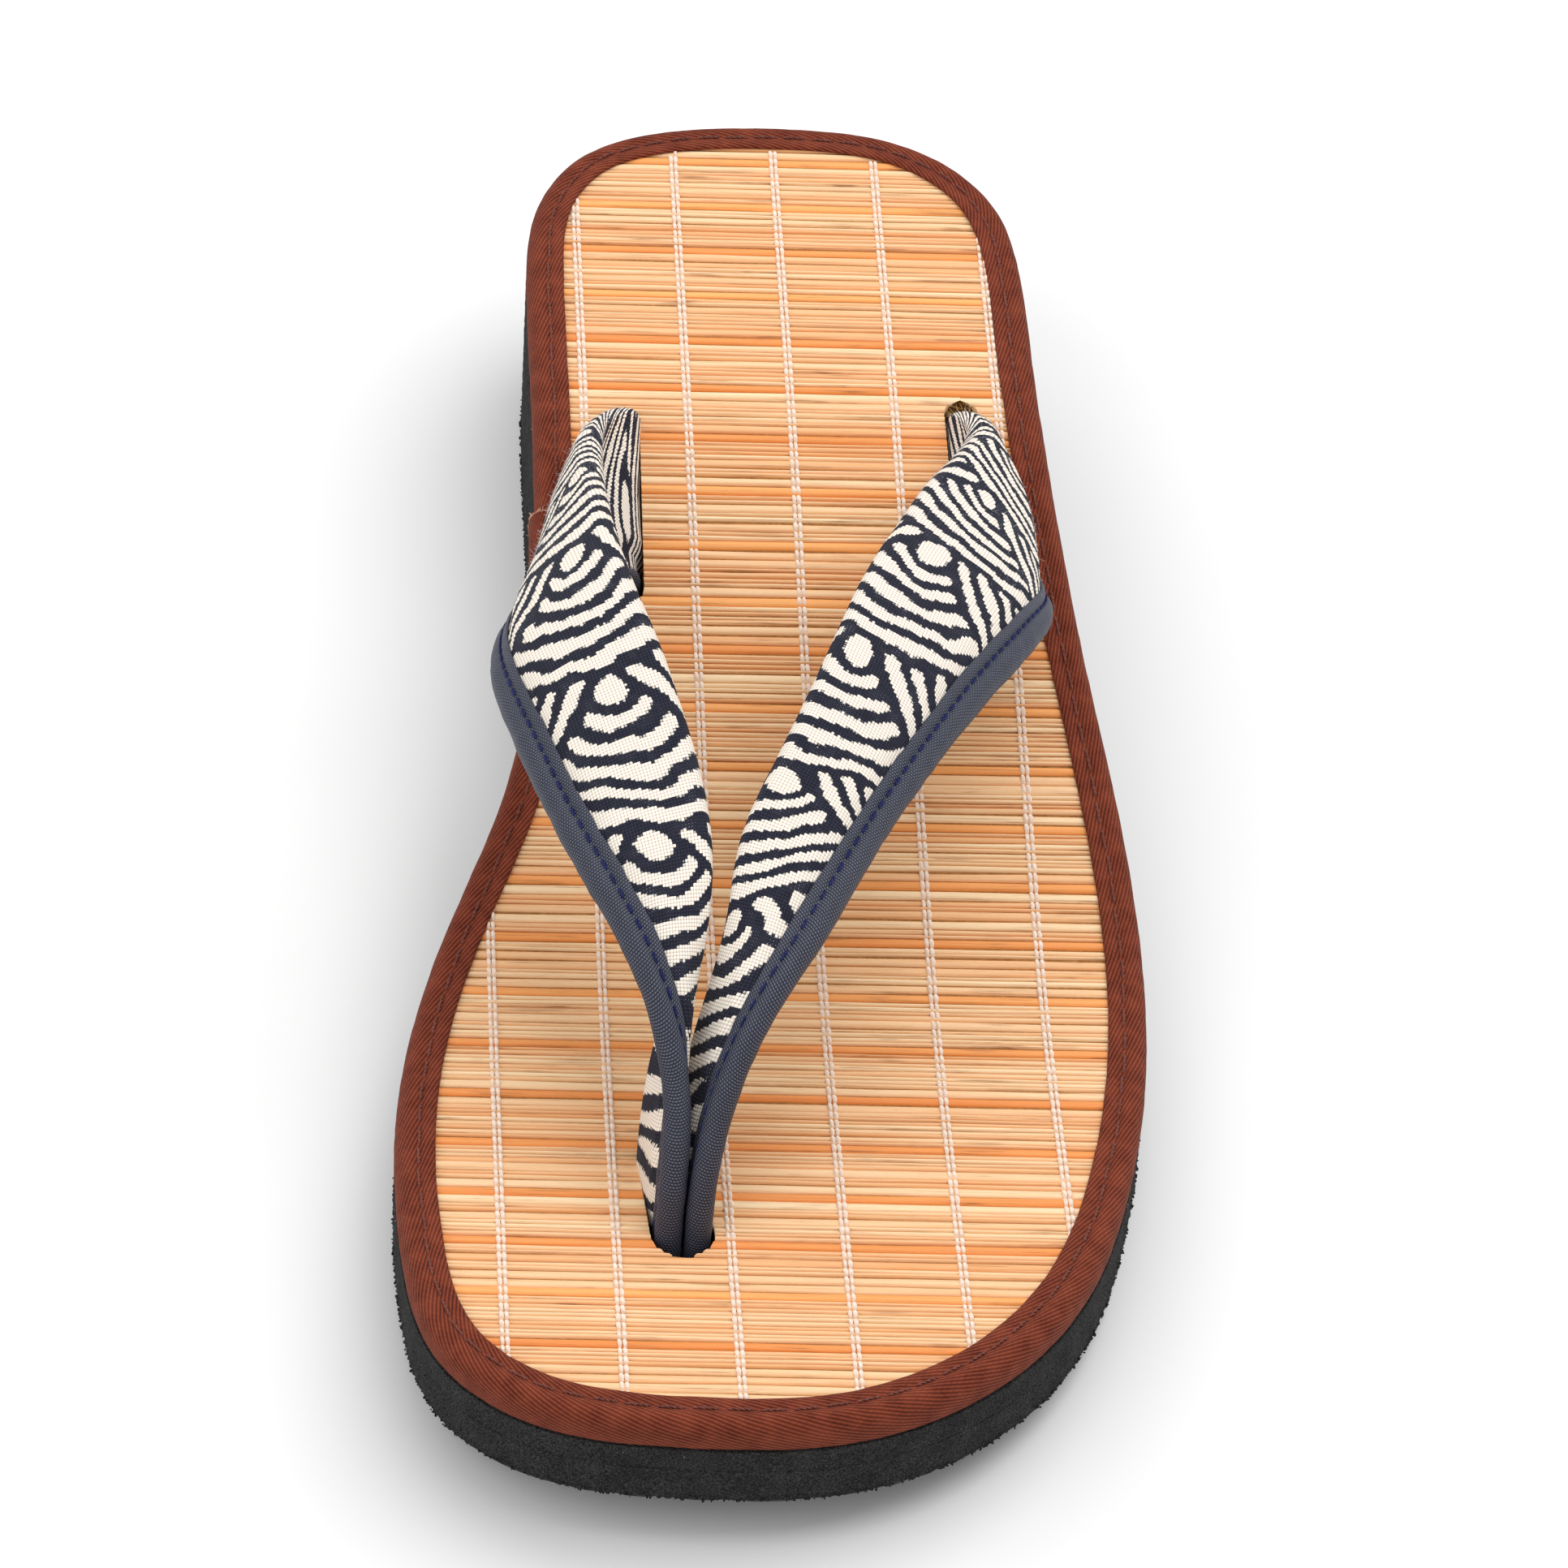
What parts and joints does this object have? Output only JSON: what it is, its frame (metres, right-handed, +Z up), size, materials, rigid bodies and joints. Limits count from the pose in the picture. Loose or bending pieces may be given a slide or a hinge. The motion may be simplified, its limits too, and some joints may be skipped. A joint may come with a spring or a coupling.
{
  "type": "zori sandal",
  "caption": "Left-foot zori sandal: wedge sole with zigzag tread, stick-mat footbed with a taped edge, and padded thong straps with piping.",
  "frame": {"origin": "middle of the sandal's footprint, on the ground", "axes": "+Z up, toe towards -Y, heel towards +Y, outer side of the left foot towards +X"},
  "size_m": [0.0995, 0.2447, 0.0558],
  "materials": {
    "black_tread": "matt moulded sheet with fine grain",
    "black_foam": "matt cut foam, ribbed at the heel",
    "stick_mat": "split sticks, some dyed orange, tied with white thread",
    "brown_tape": "twill-woven tape with a dark seam",
    "printed_cloth": "coarse woven cotton, cream waves on navy",
    "navy_tape": "ribbed tape with a slight sheen"
  },
  "bodies": {
    "root": {"outsole": "black_tread", "midsole": "black_foam", "footbed": "stick_mat", "binding": "brown_tape", "strap": "printed_cloth", "piping_inner": "navy_tape", "piping_outer": "navy_tape"}
  },
  "joints": []
}
